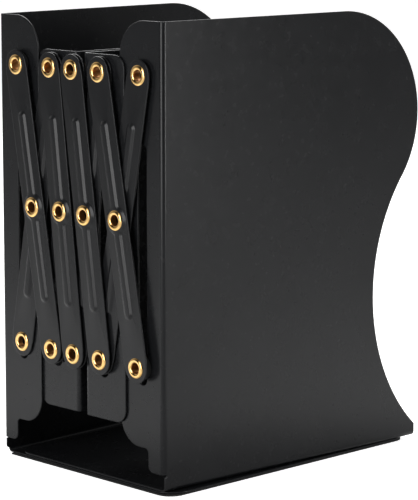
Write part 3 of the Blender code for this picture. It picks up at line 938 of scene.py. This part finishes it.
def settle(piece, place, turn=0.0):
    """Puts a piece in its place, turned about Y, and writes the place into its mesh."""
    bpy.ops.object.mode_set(mode="OBJECT")
    piece.location = place
    piece.rotation_euler = (0, turn, 0)
    bpy.ops.object.transform_apply(location=True, rotation=True, scale=False)


def loosen(up, radius):
    """Widens a bar's hole to a radius, with the rounded rim round it."""
    reach = rivet_hole + 0.6 * MM
    select("VERT", lambda vertex: math.hypot(vertex.co.x, vertex.co.z - up) < reach)
    share = (radius + rim_ring / 2) / (rivet_hole + rim_ring / 2)
    bpy.ops.transform.resize(value=(share, 1, share), center_override=(0, 0, up))


print("longest bar", round(max(bar_lengths) / MM, 2), "mm between its rivets")

# %% [markdown]
# ## Eight bars
#
# The front bars and the back bars cross at the middle rivets, and their lean follows from the places of
# the rivets. Three end holes are wider than the others, because the crosses of the tongs differ a little
# and the rivets there need some play on their way.

# %% Eight bars
loose_holes = {"back_bar_1": (1,), "back_bar_3": (1, -1)}
for row, face_y in (("front", front_bar_y), ("back", back_bar_y)):
    for number in range(1, 5):
        name = f"{row}_bar_{number}"
        piece = copy_of(bar_piece, f"{name}_pressed")
        half_more = (bar_lengths[number - 1] - bar_lengths[0]) / 2
        move_part(lambda vertex: vertex.co.z > boss_zone, (0, 0, half_more))
        move_part(lambda vertex: vertex.co.z < -boss_zone, (0, 0, -half_more))
        for side in loose_holes.get(name, ()):
            loosen(side * bar_lengths[number - 1] / 2, loose_radius)
        across = low_rivets[number][0] - top_rivets[number - 1][0]
        angle = math.asin(across / bar_lengths[number - 1])
        boss = rivet(f"middle_eyelet_{number}")
        settle(piece, (boss[0], face_y, boss[1]), -angle if row == "front" else angle)
        takes_over(piece, name)
bpy.data.objects.remove(bar_piece)

# %% [markdown]
# ## Eyelets
#
# An eyelet is a short brass tube with a rolled head. It is pushed through the stack, and a punch spreads
# its other end into a second roll. It is drawn as one profile and spun round its axis, as on a lathe, and
# the copies are stretched to their own stacks. Those at the bottom have a wider rolled tail. The faces of
# the bore get a second brass, rougher and darker: its darker tone is painted shade inside the bore.

# %% Spin a profile
def spun_ring(name, strokes, steps):
    """Spins a closed profile round the upright axis and lays it down, so that the axis runs along Y."""
    piece = new_piece(name)
    draw(strokes, 0, chord=0.12 * MM)
    bpy.ops.mesh.delete(type="ONLY_FACE")
    bpy.ops.mesh.select_all(action="SELECT")
    bpy.ops.mesh.spin(steps=steps, angle=2 * math.pi, center=(0, 0, 0), axis=(0, 0, 1))
    bpy.ops.mesh.select_all(action="SELECT")
    bpy.ops.mesh.remove_doubles(threshold=weld)
    bpy.ops.mesh.normals_make_consistent(inside=False)
    bpy.ops.object.mode_set(mode="OBJECT")
    piece.rotation_euler = (math.pi / 2, 0, 0)
    bpy.ops.object.transform_apply(location=False, rotation=True, scale=False)
    piece.vertex_groups.clear()
    bpy.ops.object.shade_smooth_by_angle(angle=smooth_angle)
    return piece


round_steps = 48
print("round pieces are spun in", round_steps, "steps")

# %% Profile of an eyelet
bore = 2.3 * MM
barrel = 2.5 * MM
head_radius = 4.4 * MM
head_height = 0.66 * MM
tail_height = 0.56 * MM
stack = 6.0 * MM
hair = 0.001 * MM


def eyelet_strokes(head, tail):
    """A profile from the head, above, down to the tail: two rolls joined by the thin tube."""
    return [
        (barrel, stack), (head, stack), ((head + bore) / 2, stack, math.pi),
        (bore, 0), ((tail + bore) / 2, 0, math.pi), (barrel, 0)]


def flatten_rolls(head_round, tail_round):
    """Presses the two half-round rolls to their real heights."""
    select("VERT", lambda vertex: vertex.co.y < -stack + hair)
    bpy.ops.transform.resize(value=(1, head_height / head_round, 1), center_override=(0, -stack, 0))
    select("VERT", lambda vertex: vertex.co.y > -hair)
    bpy.ops.transform.resize(value=(1, tail_height / tail_round, 1), center_override=(0, 0, 0))


print("heads", 2 * head_radius / MM, "mm wide on barrels of", 2 * barrel / MM, "mm")

# %% Two kinds of eyelet
eyelet_pieces = {}
for kind, tail in (("top", 4.0 * MM), ("bottom", 5.2 * MM)):
    piece = spun_ring(f"{kind}_eyelet", eyelet_strokes(head_radius, tail), round_steps)
    piece.data.materials.append(brass)
    bpy.ops.object.mode_set(mode="EDIT")
    flatten_rolls((head_radius - bore) / 2, (tail - bore) / 2)
    # The bore's faces take the darker brass, which is painted shade inside the bore.
    piece.data.materials.append(bore_shade_brass)
    select("FACE", lambda face: math.hypot(middle(face).x, middle(face).z) < bore + 0.1 * MM)
    piece.active_material_index = 1
    bpy.ops.object.material_slot_assign()
    bpy.ops.object.mode_set(mode="OBJECT")
    eyelet_pieces[kind] = piece
    print(kind, "eyelet has", len(piece.data.polygons), "faces")

# %% [markdown]
# ## Fourteen eyelets
#
# The stacks differ in thickness, so a copy's head is moved along the tube until it fits. The box of each
# packed eyelet says where it sits and how long it is.

# %% Fourteen eyelets
for kind, count in (("top", 5), ("middle", 4), ("bottom", 5)):
    for number in range(1, count + 1):
        name = f"{kind}_eyelet_{number}"
        low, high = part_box(name)
        piece = copy_of(eyelet_pieces["bottom" if kind == "bottom" else "top"], f"{name}_rolled")
        length = high.y - low.y - head_height - tail_height
        move_part(lambda vertex: vertex.co.y < -stack / 2, (0, stack - length, 0))
        across, up = rivet(name)
        settle(piece, (across, high.y - tail_height, up))
        takes_over(piece, name)
for piece in eyelet_pieces.values():
    bpy.data.objects.remove(piece)
print("eyelets placed")

# %% [markdown]
# ## Washers and spacers
#
# Black nylon washers keep the painted bars from rubbing on each other, and thicker ones fill a stack
# where a bar is missing. They are turned or stamped rings with a small round on each edge. They are spun
# like the eyelets, once for each size, and copied.

# %% Washers and spacers
def washer_strokes(hole, radius, thickness, edge):
    """The profile of a ring with rounded edges."""
    return rounded([
        (hole, -thickness / 2, 0), (radius, -thickness / 2, edge), (radius, thickness / 2, edge),
        (hole, thickness / 2, 0)])


layer_gaps = 0.2 * MM
ring_pieces = {}
for part in frame["record"]["subparts"]:
    name = part["node"]
    if part["material_slot"] != "nylon":
        continue
    low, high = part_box(name)
    radius, thickness = (high.x - low.x) / 2, high.y - low.y + layer_gaps
    kind = (round(radius / MM, 1), round(thickness / MM, 1))
    if kind not in ring_pieces:
        strokes = washer_strokes(rivet_hole, radius, thickness, edge=0.15 * MM)
        ring_pieces[kind] = spun_ring(f"ring_{len(ring_pieces)}", strokes, round_steps)
        ring_pieces[kind].data.materials.append(nylon)
    piece = copy_of(ring_pieces[kind], f"{name}_ring")
    settle(piece, ((low.x + high.x) / 2, (low.y + high.y) / 2, (low.z + high.z) / 2))
    takes_over(piece, name)
for piece in ring_pieces.values():
    bpy.data.objects.remove(piece)
print("kinds of rings", sorted(ring_pieces))

# %% [markdown]
# ## Foot pad
#
# The pad is a thin sheet of foam rubber, cut to the outline of the foot and glued under it. It keeps the
# steel from scratching a shelf. Its outline is drawn upright like the others, extruded and laid down.

# %% Foot pad
low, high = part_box("foot_pad")
pad = new_piece("foot_pad_foam")
pad_corner = 7.5 * MM
lean_in = math.tan(splay) * (high.y - low.y)
draw(rounded([
    (low.x + lean_in, low.y, 0), (high.x, low.y, pad_corner), (high.x, high.y, pad_corner),
    (low.x, high.y, 0)]))
bpy.ops.mesh.extrude_region_move(TRANSFORM_OT_translate={"value": (0, low.z - high.z, 0)})
bpy.ops.mesh.select_all(action="SELECT")
bpy.ops.mesh.normals_make_consistent(inside=False)
finish_piece(pad, foam, round_width=0.12 * MM)
pad.rotation_euler = (-math.pi / 2, 0, 0)
bpy.ops.object.transform_apply(location=False, rotation=True, scale=False)
takes_over(pad, "foot_pad")
print("pad", [round(value / MM, 1) for value in pad.dimensions])
